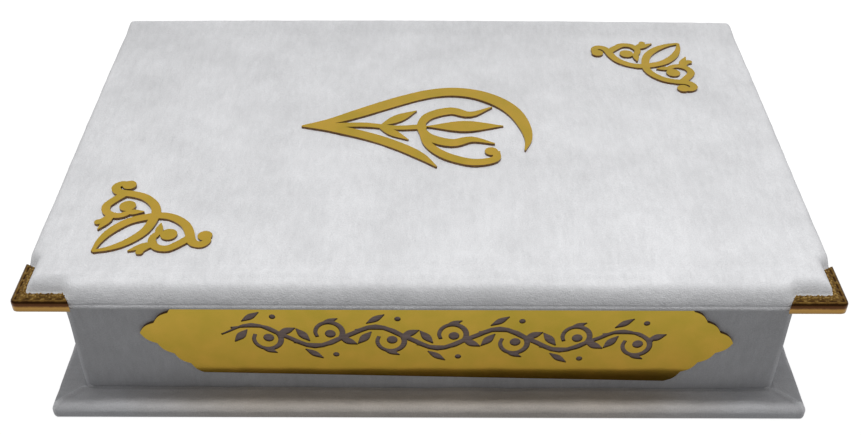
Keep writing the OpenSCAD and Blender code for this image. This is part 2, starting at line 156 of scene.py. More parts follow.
def velvet(name, along, tone=(0.70, 0.70, 0.715), painted_plate_bounce=False, painted_back_shade=False, fold=None):
    """White pile fabric, streaked along one axis, with a soft sheen at its edges.

    A warm tint below the gold plate is painted light bounced from the plate, and a darkening of the pile
    towards the back is painted shade.
    fold is where the line of a folded corner crosses the middle, in millimetres: a painted highlight lightens
    the pile along it.
    """
    s = Surface(name, Roughness=0.85, Sheen_Weight=0.22, Sheen_Roughness=0.42)
    s.shader.inputs["Specular IOR Level"].default_value = 0.12
    across = [1.0, 1.0, 1.0]
    across["XYZ".index(along)] = 0.28
    streak = s.noise(520, 5, tuple(across), 0.62)
    patch = s.noise(42, 5, (1, 1, 1), 0.62)
    pile = s.noise(2300, 2)
    high = shaded(tone, 1.06)
    base = s.ramp(streak, (0.30, shaded(tone, 0.86)), (0.70, high))
    base = s.mix(0.5, base, s.ramp(patch, (0.34, shaded(tone, 0.84)), (0.66, high)))
    base = s.mix(0.20, base, s.ramp(pile, (0.3, 0.30), (0.75, 1.0)), "MULTIPLY")
    # Painted light: a warm tint under the gold plate, standing for light bounced off it, fading out to either
    # side.
    if painted_plate_bounce:
        reach = s.maths("ADD", s.maths("ABSOLUTE", s.part(0)), s.maths("MULTIPLY", patch, 0.02))
        plate_bounce_tint = s.ramp(s.maths("MULTIPLY", reach, 8.0), (0.60, (0.98, 0.90, 0.80)), (0.98, WHITE))
        base = s.mix(1.0, base, plate_bounce_tint, "MULTIPLY")
    # Painted shade: the top darkens a little towards the back, where less light comes off the pile.
    if painted_back_shade:
        toward_back = s.maths("ADD", s.part(1), s.maths("MULTIPLY", s.part(0), -0.25))
        shade = s.ramp(s.maths("ADD", s.maths("MULTIPLY", toward_back, 4.0), 0.5), (0.05, 1.0), (0.95, 0.81))
        base = s.mix(1.0, base, shade, "MULTIPLY")
    # Painted highlight: the pile is lighter along the folded corner's line, as a ridge there would catch the
    # light.
    if fold is not None:
        diagonal = s.maths("ADD", s.maths("ABSOLUTE", s.part(0)), s.part(1))
        beside = s.maths("ADD", diagonal, -fold * MM)
        fold_highlight = s.ramp(s.maths("MULTIPLY", s.maths("ABSOLUTE", beside), 500.0), (0.25, 1.3), (0.95, 1.0))
        base = s.mix(1.0, base, fold_highlight, "MULTIPLY")
    s.colour(base)
    soft = s.bump(patch, 0.0009, 0.40)
    soft = s.bump(streak, 0.00028, 0.55, soft)
    s.bump(pile, 0.00024, 0.7, soft)
    return s.material


def satin(name, tone):
    """Smooth lining cloth with a fine weave and a long soft shine."""
    s = Surface(name, Roughness=0.34, Anisotropic=0.5, Sheen_Weight=0.12)
    thread = s.noise(2400, 2, (0.06, 1, 1))
    cloud = s.noise(30, 3)
    low = shaded(tone, 0.86)
    s.colour(s.mix(0.5, s.ramp(thread, (0.3, low), (0.7, tone)), s.ramp(cloud, (0.3, low), (0.7, tone))))
    s.roughness(thread, 0.28, 0.46)
    s.bump(thread, 0.00006, 0.5, s.bump(cloud, 0.0010, 0.25))
    return s.material


def gold_mirror(name, tone, painted_floor_reflection=None):
    """The mirrored face of cut gold acrylic, very slightly wavy and rubbed.

    With a lower and an upper height in metres, the face clears from dull to bright between them: a painted
    reflection of the shaded floor.
    """
    s = Surface(name, Metallic=1.0)
    wave = s.noise(38, 2)
    sheen = s.noise(120, 3)
    rub = s.noise(900, 3, (1, 0.12, 1))
    olive = (tone[0] * 0.80, tone[1] * 0.86, tone[2] * 0.70)
    warm = (tone[0] * 1.02, tone[1] * 0.96, tone[2])
    face = s.mix(0.5, s.ramp(wave, (0.25, olive), (0.75, tone)), s.ramp(sheen, (0.35, olive), (0.65, warm)))
    # Painted reflection: the face is darker low down, where it would mirror the floor lying in the object's
    # shade.
    if painted_floor_reflection:
        level = s.add("MapRange", {"Value": s.part(2), "From Min": painted_floor_reflection[0], "From Max": painted_floor_reflection[1]}).outputs[0]
        face = s.mix(1.0, face, s.ramp(level, (0.0, (0.74, 0.64, 0.60)), (1.0, WHITE)), "MULTIPLY")
    s.colour(face)
    s.roughness(rub, 0.07, 0.20)
    s.bump(wave, 0.0010, 0.22)
    return s.material


def cut_edge(name):
    """The laser-cut side of the acrylic, burnt to a glossy brown."""
    s = Surface(name, Metallic=0.25)
    cut = s.noise(1600, 2, (1, 1, 0.06))
    s.colour(s.ramp(cut, (0.3, (0.095, 0.038, 0.008)), (0.75, (0.26, 0.12, 0.022))))
    s.roughness(cut, 0.25, 0.45)
    s.bump(cut, 0.00008, 0.6)
    return s.material


def engraved_floor(name):
    """Acrylic with its mirror burnt away: grey-brown, with the laser's raster."""
    s = Surface(name, Metallic=0.0)
    raster = s.noise(2200, 2, (0.05, 1, 1))
    s.colour(s.ramp(raster, (0.3, (0.13, 0.085, 0.072)), (0.72, (0.29, 0.20, 0.175))))
    s.roughness(raster, 0.45, 0.65)
    s.bump(raster, 0.00010, 0.7)
    return s.material


def antique_brass(name, low_z, high_z):
    """Stamped brass coloured by height: a lighter band low on the walls is a painted reflection of the floor,
    the fold is dark, the hollows dark with patina, and the relief tops bright, partly rubbed brass and partly
    a painted highlight.
    """
    s = Surface(name, Metallic=1.0)
    patina = s.noise(420, 5, rough=0.65)
    height = s.add("MapRange", {
        "Value": s.part(2), "From Min": low_z * MM, "From Max": (high_z + 0.4) * MM}).outputs[0]
    cloud = s.maths("MULTIPLY", s.maths("SUBTRACT", patina, 0.5), 0.16)
    # Colour by height: the lower walls' lighter band is a painted floor reflection, and the brightest stop on
    # the relief tops is partly a painted highlight.
    s.colour(s.ramp(
        s.maths("ADD", height, cloud), (0.0, (0.20, 0.12, 0.036)), (0.42, (0.34, 0.19, 0.050)),
        (0.60, (0.070, 0.028, 0.012)), (0.87, (0.085, 0.036, 0.012)), (0.935, (0.32, 0.18, 0.042)),
        (1.0, (0.95, 0.64, 0.22))))
    s.roughness(patina, 0.22, 0.48)
    s.bump(patina, 0.00012, 0.5)
    return s.material


def board(name):
    """Pressed greyboard with darker fibres."""
    s = Surface(name, Roughness=0.9)
    fibre = s.noise(1300, 4, (1, 0.3, 1))
    s.colour(s.ramp(fibre, (0.3, (0.20, 0.18, 0.155)), (0.7, (0.36, 0.33, 0.29))))
    s.bump(fibre, 0.0001, 0.6)
    return s.material


def book_cloth(name):
    """Off-white textured cover cloth with a fine cross grain."""
    s = Surface(name, Sheen_Weight=0.1)
    warp = s.noise(1500, 2, (1, 0.14, 1))
    weft = s.noise(1500, 2, (0.14, 1, 1))
    weave = s.maths("MULTIPLY", s.maths("ADD", warp, weft), 0.5)
    handled = s.noise(17, 4)
    s.colour(s.mix(
        0.3, s.ramp(weave, (0.35, (0.55, 0.52, 0.46)), (0.65, (0.74, 0.72, 0.67))),
        s.ramp(handled, (0.3, (0.60, 0.57, 0.51)), (0.7, (0.78, 0.76, 0.71)))))
    s.roughness(weave, 0.5, 0.8)
    s.bump(weave, 0.00014, 0.8)
    return s.material


def paper_edges(name):
    """The edge of a block of leaves: hundreds of fine level lines."""
    s = Surface(name, Roughness=0.85)
    lines = s.noise(5200, 2, (0.012, 0.012, 1))
    groups = s.noise(420, 3, (0.02, 0.02, 1))
    s.colour(s.mix(
        0.5, s.ramp(lines, (0.32, (0.46, 0.40, 0.29)), (0.62, (0.80, 0.75, 0.63))),
        s.ramp(groups, (0.3, (0.56, 0.50, 0.39)), (0.7, (0.84, 0.80, 0.69)))))
    s.bump(lines, 0.00012, 0.8, s.bump(groups, 0.0003, 0.5))
    return s.material


def page(name, centre_y, half_x, half_y):
    """A leaf's face: cream paper with a printed double line as its only decoration."""
    s = Surface(name, Roughness=0.8)
    fibre = s.noise(900, 4)
    tone = s.noise(11, 3)
    paper = s.mix(
        0.5, s.ramp(fibre, (0.3, (0.76, 0.72, 0.61)), (0.7, (0.83, 0.79, 0.69))),
        s.ramp(tone, (0.3, (0.78, 0.73, 0.61)), (0.7, (0.85, 0.82, 0.73))))
    side = s.maths("SUBTRACT", half_x * MM, s.maths("ABSOLUTE", s.part(0)))
    end = s.maths("SUBTRACT", half_y * MM, s.maths("ABSOLUTE", s.maths("SUBTRACT", s.part(1), centre_y * MM)))
    inset = s.maths("MINIMUM", side, end)
    thick = s.maths("COMPARE", inset, 0.0130)
    thick.node.inputs[2].default_value = 0.0005
    thin = s.maths("COMPARE", inset, 0.0148)
    thin.node.inputs[2].default_value = 0.00018
    line = s.maths("MAXIMUM", thick, thin)
    s.colour(s.mix(line, paper, (0.42, 0.27, 0.07, 1)))
    s.bump(fibre, 0.00006, 0.4)
    return s.material


def gauze(name):
    """Open mull cloth, stiff with glue."""
    s = Surface(name, Roughness=0.9)
    mesh = s.maths("MAXIMUM", s.noise(1700, 1, (1, 0.05, 1)), s.noise(1700, 1, (0.05, 1, 1)))
    s.colour(s.ramp(mesh, (0.45, (0.42, 0.36, 0.26)), (0.62, (0.80, 0.76, 0.66))))
    s.bump(mesh, 0.0002, 0.8)
    return s.material


def banded_silk(name):
    """Headband thread in two alternating colours."""
    s = Surface(name, Roughness=0.45, Sheen_Weight=0.2)
    turns = s.add("TexWave", {"Vector": s.place, "Scale": 210.0, "Distortion": 0.4}, bands_direction="Z")
    strand = s.noise(3000, 2, (0.2, 1, 1))
    s.colour(s.mix(0.25, s.ramp(
        turns.outputs[0], (0.45, (0.62, 0.40, 0.10)), (0.55, (0.84, 0.80, 0.70))), strand, "MULTIPLY"))
    s.bump(turns.outputs[0], 0.0003, 0.7)
    return s.material


# Heights that the materials and the meshes share
GUARD_T = 0.6
GUARD_TOP = box_mm("corner_guard_left")[1][2]
LID_Z = box_mm("lid_velvet")[0][2]
PAD_Z = GUARD_TOP - GUARD_T
CROWN_Z = box_mm("lid_emblem")[0][2]


def mitre(node):
    """Where the 45 degree line through a node's front corner crosses its middle, in millimetres."""
    low, high = box_mm(node)
    return high[0] + low[1]


# The lid's copy of the velvet is lighter than the walls' and the base's: painted light on the top.
VELVET_TOP_LIT = velvet("velvet_lid", "Y", (0.785, 0.785, 0.797), painted_back_shade=True)
VELVET_WALL = velvet("velvet_wall", "Z", fold=mitre("wall_velvet"))
VELVET_BASE = velvet("velvet_base", "X", painted_plate_bounce=True, fold=mitre("base_velvet"))
SATIN = satin("satin_lining", (0.80, 0.74, 0.62))
GOLD = gold_mirror("gold_mirror", (0.86, 0.56, 0.080))
# The plate's gold mirror is a darker copy of the ornaments' gold: painted shade on the upright plate.
PLATE_GOLD_SHADED = gold_mirror("gold_mirror_plate_shaded", (0.41, 0.285, 0.042), painted_floor_reflection=(0.012, 0.050))
GILT = gold_mirror("gilt_line", (0.88, 0.62, 0.20))
EDGE = cut_edge("acrylic_edge")
ENGRAVED = engraved_floor("acrylic_engraved")
BRASS = antique_brass("antique_brass_relief", LID_Z - GUARD_T, GUARD_TOP)
BOARD = board("greyboard")
CLOTH = book_cloth("cover_cloth")
PAPER_EDGES = paper_edges("paper_edges")
MULL = gauze("mull_gauze")
SILK = banded_silk("headband_silk")
ENDPAPER = satin("endpaper_silk", (0.80, 0.70, 0.48))


# --- Mesh tools --------------------------------------------------------------


def make_piece(name, points, faces, materials, smooth=True):
    """A mesh object in metres from points in millimetres, with its normals outwards."""
    mesh = bpy.data.meshes.new(name)
    mesh.from_pydata((np.asarray(points) * MM).tolist(), [], faces)
    for material in materials:
        mesh.materials.append(material)
    bm = bmesh.new()
    bm.from_mesh(mesh)
    bmesh.ops.recalc_face_normals(bm, faces=bm.faces)
    bm.to_mesh(mesh)
    bm.free()
    mesh.polygons.foreach_set("use_smooth", [smooth] * len(mesh.polygons))
    piece = bpy.data.objects.new(name, mesh)
    bpy.context.scene.collection.objects.link(piece)
    return piece


def settle(piece, body, slot, *nodes):
    """The piece rides on a body and stands for CAD nodes."""
    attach(piece, body)
    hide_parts(*nodes)


def ease(x):
    """From 0 to 1 with a smooth start and end."""
    x = np.clip(x, 0, 1)
    return x * x * (3 - 2 * x)


def hump(distance, width):
    """1 at no distance, falling away smoothly on both sides over about this width."""
    return np.exp(-(distance / width) ** 2)


def wander(points, size, seed, octaves=2):
    """Smooth noise of about -1 to 1 at each point, with cells of this size."""
    spots = np.asarray(points) / size
    return np.array([
        noise.fractal(Vector(p) + Vector((0, 0, 7.3 * seed)), 0.8, 2.1, octaves) for p in spots])


def round_corners(x, y, half_x, half_y, radius):
    """Moves points of a rectangle so that its four corners are rounded."""
    p = np.clip((np.abs(x) - half_x + radius) / radius, 0, 1)
    q = np.clip((np.abs(y) - half_y + radius) / radius, 0, 1)
    inside = (p > 0) & (q > 0)
    new_x = half_x - radius + radius * p * np.sqrt(1 - q * q / 2)
    new_y = half_y - radius + radius * q * np.sqrt(1 - p * p / 2)
    return np.where(inside, np.sign(x) * new_x, x), np.where(inside, np.sign(y) * new_y, y)


def spaced(half, edge, fine, coarse):
    """Places from -half to half, fine within this distance of each end."""
    near = np.linspace(half - edge, half, int(round(edge / fine)) + 1)
    middle = np.linspace(edge - half, half - edge, int(round(2 * (half - edge) / coarse)) + 1)
    return np.concatenate([-near[::-1], middle[1:-1], near])


def wrapped_slab(name, half_x, half_y, centre_y, spacing, top, rim, radius, materials):
    """A closed slab: a top surface over a rectangle, then rows of (inset, z) down and under its edge."""
    xs = spaced(half_x, *spacing)
    ys = spaced(half_y, *spacing)
    nx = len(xs)
    ny = len(ys)
    x, y = (a.ravel() for a in np.meshgrid(xs, ys))
    z = top(x, y)
    flat_x, flat_y = round_corners(x, y, half_x, half_y, radius)
    points = [np.column_stack([flat_x, flat_y + centre_y, z])]
    index = np.arange(nx * ny).reshape(ny, nx)
    faces = [
        (index[j, i], index[j, i + 1], index[j + 1, i + 1], index[j + 1, i])
        for j in range(ny - 1) for i in range(nx - 1)]
    border = np.concatenate([index[0, :-1], index[:-1, -1], index[-1, :0:-1], index[:0:-1, 0]])
    last = border
    count = nx * ny
    for inset, level in rim:
        grow_x = (half_x - inset) / half_x
        grow_y = (half_y - inset) / half_y
        ring_x, ring_y = round_corners(
            x[border] * grow_x, y[border] * grow_y, half_x - inset, half_y - inset,
            max(radius - inset, 0.3))
        points.append(np.column_stack([ring_x, ring_y + centre_y, np.full(len(border), level)]))
        ring = np.arange(count, count + len(border))
        count += len(border)
        after = np.roll(ring, -1)
        faces += list(zip(last, ring, after, np.roll(last, -1)))
        last = ring
    faces.append(tuple(last[::-1]))
    faces = [tuple(int(i) for i in f) for f in faces]
    return make_piece(name, np.vstack(points), faces, materials)


def skin(name, rows, materials, closed=False):
    """A closed mesh from rows of points, each row an outline; closed joins the last row to the first."""
    rows = np.asarray(rows)
    count, around = rows.shape[:2]
    index = np.arange(count * around).reshape(count, around)
    faces = []
    for i in range(count if closed else count - 1):
        for j in range(around):
            k = (i + 1) % count
            m = (j + 1) % around
            faces.append((int(index[i, j]), int(index[i, m]), int(index[k, m]), int(index[k, j])))
    if not closed:
        faces.append(tuple(int(i) for i in index[0, ::-1]))
        faces.append(tuple(int(i) for i in index[-1]))
    return make_piece(name, rows.reshape(-1, 3), faces, materials)


def roughen(piece, amount, size, seed, keep, floor=None):
    """Moves each point along its normal by soft noise, in millimetres; keep is a share for each point."""
    mesh = piece.data
    co = np.zeros(len(mesh.vertices) * 3)
    normal = np.zeros(len(mesh.vertices) * 3)
    mesh.vertices.foreach_get("co", co)
    mesh.vertices.foreach_get("normal", normal)
    co = co.reshape(-1, 3) / MM
    push = amount * wander(co, size, seed) * keep(co)
    co = co + normal.reshape(-1, 3) * push[:, None]
    if floor is not None:
        co[:, 2] = np.maximum(co[:, 2], floor)
    mesh.vertices.foreach_set("co", (co * MM).ravel())
    mesh.update()


# --- Lid ---------------------------------------------------------------------

lid_low, lid_high = box_mm("lid_velvet")
LID_X = lid_high[0]
LID_Y = (lid_high[1] - lid_low[1]) / 2
LID_MIDDLE = (lid_high[1] + lid_low[1]) / 2
GUARD_X = box_mm("corner_guard_right")[1][0]
GUARD_Y = box_mm("corner_guard_right")[0][1]
GUARD_LEG = 20.0
GUARD_STRIP = 5.8
# Slant of each leg's end, as a share of the distance across the strip
GUARD_SLANT = 0.6
# Width of the strip that the puffed velvet leaves bare, and how much less of it at the side
GUARD_SEEN = 4.6
SIDE_COVERED = 0.6
FRONT_ROUND = 7.0
# Height of the crease between the stiff edge and the pad
FOLD_Z = LID_Z + 2.7
# The soft bead along the edge, and the hollow inside it: distance from the edge, and height or depth
BEAD_AT = 8.4
BEAD_H = 0.62
HOLLOW_AT = 13.0
HOLLOW_H = 0.42
CRUMPLE = 0.42
BACK_SWELL = 0.9


def guard_distance(x, y):
    """Distance outside the nearer corner guard's L, seen from above; 0 or less inside it."""
    side = GUARD_X - np.abs(x)
    front = y - GUARD_Y
    front_leg = np.maximum(front - GUARD_SEEN, side - GUARD_LEG + GUARD_SLANT * front)
    side_leg = np.maximum(side - GUARD_SEEN + SIDE_COVERED, front - GUARD_LEG + GUARD_SLANT * side)
    return np.minimum(front_leg, side_leg)


def rounded_rise(distance, width, fullness=2.0):
    """Height share at a distance from the foot of a quarter ellipse, or of a fuller curve."""
    t = np.clip(distance / width, 0, 1)
    return np.maximum(0, 1 - (1 - t) ** fullness) ** (1 / fullness)


def lid_top(x, y):
    """Height of the padded lid: pressed corners, a soft bead by the edge and slack cloth."""
    from_side = LID_X - np.abs(x)
    from_end = LID_Y - np.abs(y)
    at_back = ease(y / 150 + 0.5)
    rise_x = rounded_rise(from_side, 10.0 - 7.0 * at_back, 2.2)
    front_t = np.clip(from_end / FRONT_ROUND, 0, 1)
    rise_y = np.where(y > 0, rounded_rise(from_end, 1.9), 1 - (1 - front_t) ** 2.2)
    rise = np.maximum(0, 1 - (1 - rise_x) ** 1.7 - (1 - rise_y) ** 1.7)
    z = FOLD_Z + (CROWN_Z - FOLD_Z) * rise
    spots = np.column_stack([x, y, np.zeros_like(x)])
    near = np.minimum(from_side, from_end)
    bead_share = 0.55 + 0.45 * wander(spots, 34, 3)
    padded = np.where(y > LID_Y - 25, 0.3, 1.0)
    swell = BACK_SWELL + BACK_SWELL * (1 - (x / LID_X) ** 2)
    z += swell * np.where(y > 0, hump(from_end - 3.5, 6.0), 0.0)
    z += BEAD_H * padded * bead_share * hump(near - BEAD_AT, 1.9)
    z -= HOLLOW_H * padded * hump(near - HOLLOW_AT, 2.6)
    inner = ease((near - 1.0) / 5.0)
    z += inner * (0.22 * wander(spots, 42, 1) + 0.10 * wander(spots * [1, 0.5, 1], 9, 2, 3))
    crumple = padded * hump(near - 8.0, 3.5)
    z += CRUMPLE * crumple * wander(spots * [0.45, 1, 1], 5.0, 5, 3)
    pressed = rounded_rise(guard_distance(x, y + LID_MIDDLE), 4.0, 1.8)
    low = np.minimum(z, PAD_Z - 0.1)
    return low + (z - low) * pressed


lid_rim = [
    (0.0, FOLD_Z - 0.25), (0.03, FOLD_Z - 0.5), (0.05, FOLD_Z - 0.7), (0.03, FOLD_Z - 0.95),
    (0.0, FOLD_Z - 1.3), (0.0, LID_Z + 0.7), (0.12, LID_Z + 0.4), (0.35, LID_Z + 0.15), (0.9, LID_Z),
    (4.0, LID_Z), (8.4, LID_Z), (8.9, LID_Z + 0.15), (9.1, LID_Z + 0.45)]
lid_soft = wrapped_slab(
    "lid_velvet_pad", LID_X, LID_Y, LID_MIDDLE, (26, 0.8, 1.7), lid_top, lid_rim, 2.6, [VELVET_TOP_LIT])


def pinch_sides(piece, amount, lean):
    """Draws the pad's sides in towards its front, and leans its front edge back, by these millimetres."""
    for vertex in piece.data.vertices:
        x, y, z = vertex.co / MM
        outer = ease((abs(x) - LID_X + 12) / 12)
        front = ease((20 - (y - LID_MIDDLE)) / 90)
        vertex.co.x -= math.copysign(amount * outer * front, x) * MM
        by_front = ease((lid_low[1] + 6 - y) / 6)
        vertex.co.y += lean * by_front * ease((z - LID_Z - 0.5) / 2.2) * MM


def away_from_guards(co):
    """1 away from the guards and the hinge, 0 under them and on the lid's underside."""
    free = ease((guard_distance(co[:, 0], co[:, 1]) + 0.5) / 3)
    return free * ease((co[:, 2] - LID_Z - 0.3) / 1.5) * ease((lid_high[1] - co[:, 1]) / 2)


roughen(lid_soft, 0.14, 9, 4, away_from_guards)
pinch_sides(lid_soft, 0.55, 0.40)
settle(lid_soft, "lid", "velvet", "lid_velvet", "lid_foam")


# --- Satin panels under the lid and on the tray's floor ------------------------


def panel(name, node, body, face_z, back_z, puff):
    """A thinly wadded satin panel over a node's outline, bulging from back_z to beyond face_z."""
    low, high = box_mm(node)
    half_x = (high[0] - low[0]) / 2 - 0.2
    half_y = (high[1] - low[1]) / 2 - 0.2
    side = 1 if face_z > back_z else -1

    def top(x, y):
        spots = np.column_stack([x, y, np.zeros_like(x)])
        near = np.minimum(half_x - np.abs(x), half_y - np.abs(y))
        pulls = np.abs(wander(spots, 11, 8)) * np.exp(-near / 14)
        rise = rounded_rise(near, 16) * puff - 0.35 * puff * pulls
        return face_z + side * (rise + 0.10 * puff * wander(spots, 40, 9))

    inner = face_z - side * 0.15
    piece = wrapped_slab(
        name, half_x, half_y, (high[1] + low[1]) / 2, (18, 1.5, 4), top,
        [(0.15, inner), (0.2, back_z)], 1.0, [SATIN])
    settle(piece, body, "satin", node)
    return piece


lining_low, lining_high = box_mm("lid_lining")
floor_low, floor_high = box_mm("floor_lining")
panel("lid_satin_panel", "lid_lining", "lid", lining_low[2] + 0.25, lining_high[2], 0.55)
panel("floor_satin_panel", "floor_lining", "case", floor_high[2] - 0.45, floor_low[2], 0.45)


# --- Corner guards -------------------------------------------------------------


SCROLL_PITCH = 3.7
BEAD_PITCH = 0.95


def guard_piece(name, node, side):
    """A stamped corner guard: an L of folded sheet, with scrolls in relief on its top strip."""
    low, high = box_mm(node)
    radius = 2.4
    legs = np.concatenate([-np.linspace(1, 0.13, 78), np.linspace(-0.12, 0.12, 17), np.linspace(0.13, 1, 78)])
    bend = np.radians(np.linspace(0, 90, 7))
    top = high[2]
    foot = low[2]
    under = [(4.6, foot), (2.5, foot)]
    low_edge = [(0.9 - 0.9 * math.sin(a), foot + 0.9 - 0.9 * math.cos(a)) for a in bend]
    high_edge = [(1.3 - 1.3 * math.cos(a), top - 1.3 + 1.3 * math.sin(a)) for a in bend]
    strip = [(d, top) for d in np.linspace(1.45, GUARD_STRIP - 0.05, 30)]
    inside = [
        (GUARD_STRIP, top - 0.45), (2.5, top - GUARD_T), (0.8, top - GUARD_T), (0.8, foot + GUARD_T),
        (4.6, foot + GUARD_T)]
    outline = under + low_edge + high_edge + strip + inside
    first_strip = len(under + low_edge + high_edge)

    def relief(along, inset):
        """Height of the stamped pattern: scrolls in a row between two beaded lines."""
        u = ((along / SCROLL_PITCH) % 1 - 0.5) * SCROLL_PITCH
        v = inset - 3.6
        ring = math.hypot(u, v)
        petals = 0.5 + 0.5 * math.cos(5 * math.atan2(v, u) + 0.6)
        flower = hump(ring, 0.42) + petals * hump(ring - 1.0, 0.42)
        twist = hump(abs(u) - 1.6, 0.35) * (0.5 + 0.5 * math.cos(3.4 * v))
        bead = (0.55 + 0.45 * math.cos(2 * math.pi * along / BEAD_PITCH)) * hump(inset - 5.4, 0.25)
        groove = -0.8 * hump(inset - 1.75, 0.22)
        rim = 0.25 * hump(inset - 1.2, 0.3)
        return 0.34 * (max(flower, twist) - 0.35) + 0.30 * bead + 0.30 * groove + rim

    rows = []
    for a in legs:
        row = []
        for i, (d, z) in enumerate(outline):
            leg = GUARD_LEG - GUARD_SLANT * min(d, GUARD_STRIP)
            reach = abs(a) * (leg - d)
            on_strip = first_strip <= i < first_strip + len(strip)
            along = d + reach
            if on_strip:
                z = z + relief(along, d)
                d = d + 0.28 * abs(math.sin(math.pi * along / SCROLL_PITCH)) * ease((d - 4.6) / 1.2)
            to_side = d + (reach if a < 0 else 0)
            to_front = d + (reach if a > 0 else 0)
            p = max(0.0, 1 - to_side / radius)
            q = max(0.0, 1 - to_front / radius)
            if p > 0 and q > 0:
                to_side = radius - radius * p * math.sqrt(1 - q * q / 2)
                to_front = radius - radius * q * math.sqrt(1 - p * p / 2)
            row.append((side * (GUARD_X - to_side), GUARD_Y + to_front, z))
        rows.append(row)
    piece = skin(name, rows, [BRASS])
    settle(piece, "lid", "antique_brass", node)


guard_piece("corner_guard_left_stamped", "corner_guard_left", -1)
guard_piece("corner_guard_right_stamped", "corner_guard_right", 1)


# --- Cut acrylic ---------------------------------------------------------------


def cut_acrylic(name, node, body, up, face, floor_depth=None):
    """A copy of a cut ornament with a mirrored face, burnt sides and hollows engraved to a depth."""
    mesh = CAD[node].data.copy()
    mesh.name = name
    mesh.materials.clear()
    for material in (face, EDGE, ENGRAVED):
        mesh.materials.append(material)
    bm = bmesh.new()
    bm.from_mesh(mesh)
    bmesh.ops.remove_doubles(bm, verts=bm.verts, dist=1e-6)
    up = Vector(up)
    face_level = max(v.co.dot(up) for v in bm.verts)
    bm.normal_update()
    for facet in bm.faces:
        level = facet.calc_center_median().dot(up)
        if facet.normal.dot(up) > 0.7:
            deep = floor_depth and level < face_level - floor_depth * MM / 2
            facet.material_index = 2 if deep else 0
        else:
            facet.material_index = 1
    bm.to_mesh(mesh)
    bm.free()
    mesh.polygons.foreach_set("use_smooth", [False] * len(mesh.polygons))
    piece = bpy.data.objects.new(name, mesh)
    bpy.context.scene.collection.objects.link(piece)
    settle(piece, body, "gold_acrylic", node)


cut_acrylic("emblem_cut", "lid_emblem", "lid", (0, 0, 1), GOLD)
cut_acrylic("corner_ornament_front_cut", "corner_ornament_front", "lid", (0, 0, 1), GOLD)
cut_acrylic("corner_ornament_back_cut", "corner_ornament_back", "lid", (0, 0, 1), GOLD)
cut_acrylic("front_plate_engraved", "front_plate", "case", (0, -1, 0), PLATE_GOLD_SHADED, 0.4)


# --- Base ----------------------------------------------------------------------

base_low, base_high = box_mm("base_velvet")
wall_low, wall_high = box_mm("wall_velvet")
plate_low, plate_high = box_mm("front_plate")
BASE_X = base_high[0]
BASE_FRONT = base_low[1]
BASE_BACK = box_mm("spine_velvet")[1][1] - 1.3
FLANGE_H = base_high[2]
WALL_X = wall_high[0]
WALL_FRONT = wall_low[1]
BASE_Y = (BASE_BACK - BASE_FRONT) / 2
BASE_MIDDLE = (BASE_BACK + BASE_FRONT) / 2
# The flange's rounded outer shoulder: its height and its width
SHOULDER_H = 2.2
SHOULDER_W = 2.4
# Fall of the flange towards the walls, and how much less it falls at the left end
FLANGE_FALL = 0.7
LEFT_FULLER = 0.55
# Height of the velvet folded over itself along each mitre
MITRE_H = 1.1
# Where the flange's velvet dips under the wall's, and how far
TUCK_AT = 9.3
TUCK_H = 1.2


def base_top(x, y):
    """Height of the padded flange: a fold along each mitred corner, and thicker foam on the left."""
    from_side = BASE_X - np.abs(x)
    from_front = y + BASE_Y
    from_back = BASE_Y - y
    near = np.minimum(from_side, from_front)
    z = (FLANGE_H - SHOULDER_H) + SHOULDER_H * rounded_rise(near, SHOULDER_W)
    z -= FLANGE_FALL * ease((near - SHOULDER_W) / 7.0)
    spots = np.column_stack([x, y, np.zeros_like(x)])
    ridge = hump(from_side - from_front, 0.9) * ease(near / 2) * (near < 13)
    z += MITRE_H * ridge
    z += ease(near / 2.5) * (0.22 * wander(spots * [0.5, 1, 1], 9, 11) + 0.10 * wander(spots, 3.5, 12))
    z -= LEFT_FULLER * (np.minimum(x, 0) / BASE_X) * ease((near - 1.0) / 6.0)
    z -= TUCK_H * ease((near - TUCK_AT) / 1.2)
    return np.where(from_back < 3.0, np.minimum(z, 3.0), z)


base_rim = [
    (0.02, FLANGE_H - 2.8), (0.0, 2.2), (0.08, 1.0), (0.35, 0.35), (0.95, 0.05), (2.0, 0.0),
    (9.0, 0.0), (40.0, 0.0)]
base_soft = wrapped_slab(
    "base_velvet_cover", BASE_X, BASE_Y, BASE_MIDDLE, (14, 0.6, 3.5), base_top, base_rim, 1.8, [VELVET_BASE])
roughen(base_soft, 0.20, 12, 13, lambda co: ease((co[:, 2] - 0.2) / 2) * (co[:, 1] < BASE_BACK - 4), 0.0)
settle(
    base_soft, "case", "velvet", "base_velvet", "flange_pad_front", "flange_pad_left", "flange_pad_right")


# --- Walls ---------------------------------------------------------------------


def along(start, end, step):
    """Places from start to end, about a step apart, without the end."""
    count = max(2, int(round(abs(end - start) / step)))
    return [start + (end - start) * i / count for i in range(count)]


def folded_corner(centre_x, centre_y, radius, start):
    """Points and outward directions round a corner, with a slight ridge at its middle."""
    turn = []
    for k in range(9):
        a = math.radians(start + 90 * k / 8)
        reach = radius + 0.4 * hump(k - 4, 1.6)
        spot = (centre_x + reach * math.cos(a), centre_y + reach * math.sin(a))
        turn.append((spot, (math.cos(a), math.sin(a))))
    return turn


def wall_path(x, front, back, radius, step):
    """Points and outward directions round the front and sides of the tray, from its left back."""
    path = [((-x, y), (-1, 0)) for y in along(back, front + radius, step)]
    path += folded_corner(-x + radius, front + radius, radius, 180)
    path += [((px, front), (0, -1)) for px in along(-x + radius + step, x - radius, step)]
    path += folded_corner(x - radius, front + radius, radius, 270)
    path += [((x, y), (1, 0)) for y in along(front + radius + step, back, step)]
    path.append(((x, back), (1, 0)))
    return path


def swept(path, profile):
    """Rows of points: a profile of (outward, height) at each spot of a path."""
    return [[(x + nx * out, y + ny * out, z) for out, z in profile] for (x, y), (nx, ny) in path]


WALL_TOP = wall_high[2]
